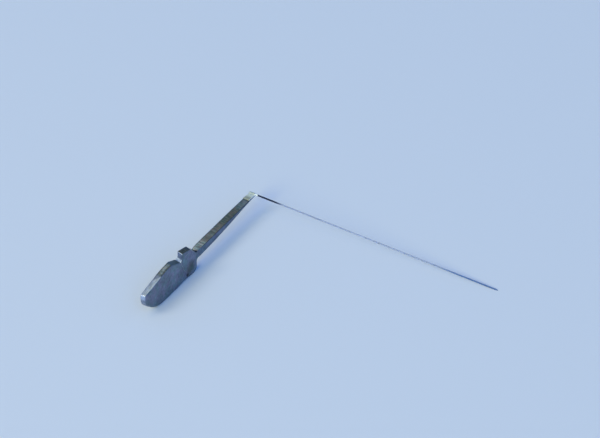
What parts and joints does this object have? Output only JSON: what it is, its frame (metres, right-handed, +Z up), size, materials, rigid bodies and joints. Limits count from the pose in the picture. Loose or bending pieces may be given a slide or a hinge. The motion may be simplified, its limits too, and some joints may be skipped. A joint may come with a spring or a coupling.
{
  "type": "scriber",
  "caption": "Flat blackened steel holder with a rounded paddle grip, a square stop and a tapered arm, and a long fine needle soldered across the arm's tip.",
  "frame": {"origin": "middle of the tool's footprint on the table, which is the bottom centre of its bounding box", "axes": "+X square to the holder's side, the way the needle points; +Y from the grip's blunt end to the arm's tip; +Z up, with the holder standing on its lower edge and the needle's point on the table"},
  "size_m": [0.113, 0.0902, 0.0152],
  "materials": {
    "grip_steel": "dark slate-blue filed steel with old scratches, its crowned top rubbed bright towards the blunt end",
    "arm_steel": "dark slate-blue filed steel with a greenish cast on the hub and oblique file marks on the arm's top",
    "lug_steel": "dark brown oil-burnt steel on top, filed bright on the wall that faces the grip",
    "braze": "thin dull brazing film filed flush and darkened",
    "soft_solder": "pale grey tin solder, satin, smooth and slightly lumpy",
    "needle_wire": "drawn spring-steel wire, heat-blued near its root and bright towards the point"
  },
  "bodies": {
    "root": {"grip": "grip_steel", "grip_braze": "braze", "arm": "arm_steel", "stop_lug": "lug_steel", "tip_solder": "soft_solder", "needle": "needle_wire"}
  },
  "joints": []
}
